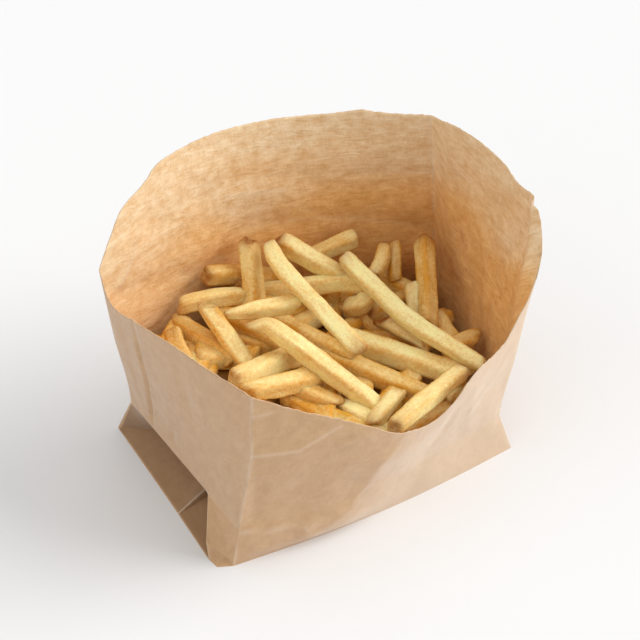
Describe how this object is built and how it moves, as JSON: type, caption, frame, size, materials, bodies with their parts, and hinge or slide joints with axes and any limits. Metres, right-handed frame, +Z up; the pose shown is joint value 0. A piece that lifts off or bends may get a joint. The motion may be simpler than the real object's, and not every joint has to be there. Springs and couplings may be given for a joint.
{
  "type": "french fries in an open brown paper bag",
  "caption": "Heap of straight-cut french fries in a short, wide block-bottom bag of brown kraft paper, open at the top with an unevenly cut mouth, low at the front and high at the back.",
  "frame": {"origin": "on the underside of the bag, near the middle of its base", "axes": "+X to the right along the front panel, +Y towards the high back panel, +Z up"},
  "size_m": [0.1526, 0.1222, 0.1195],
  "materials": {
    "kraft_paper": "matt unbleached kraft paper, soft creases",
    "fried_potato": "satin, pale golden fried potato, browner at ends and edges"
  },
  "bodies": {
    "root": {"paper_bag": "kraft_paper", "fries": "fried_potato"}
  },
  "joints": []
}
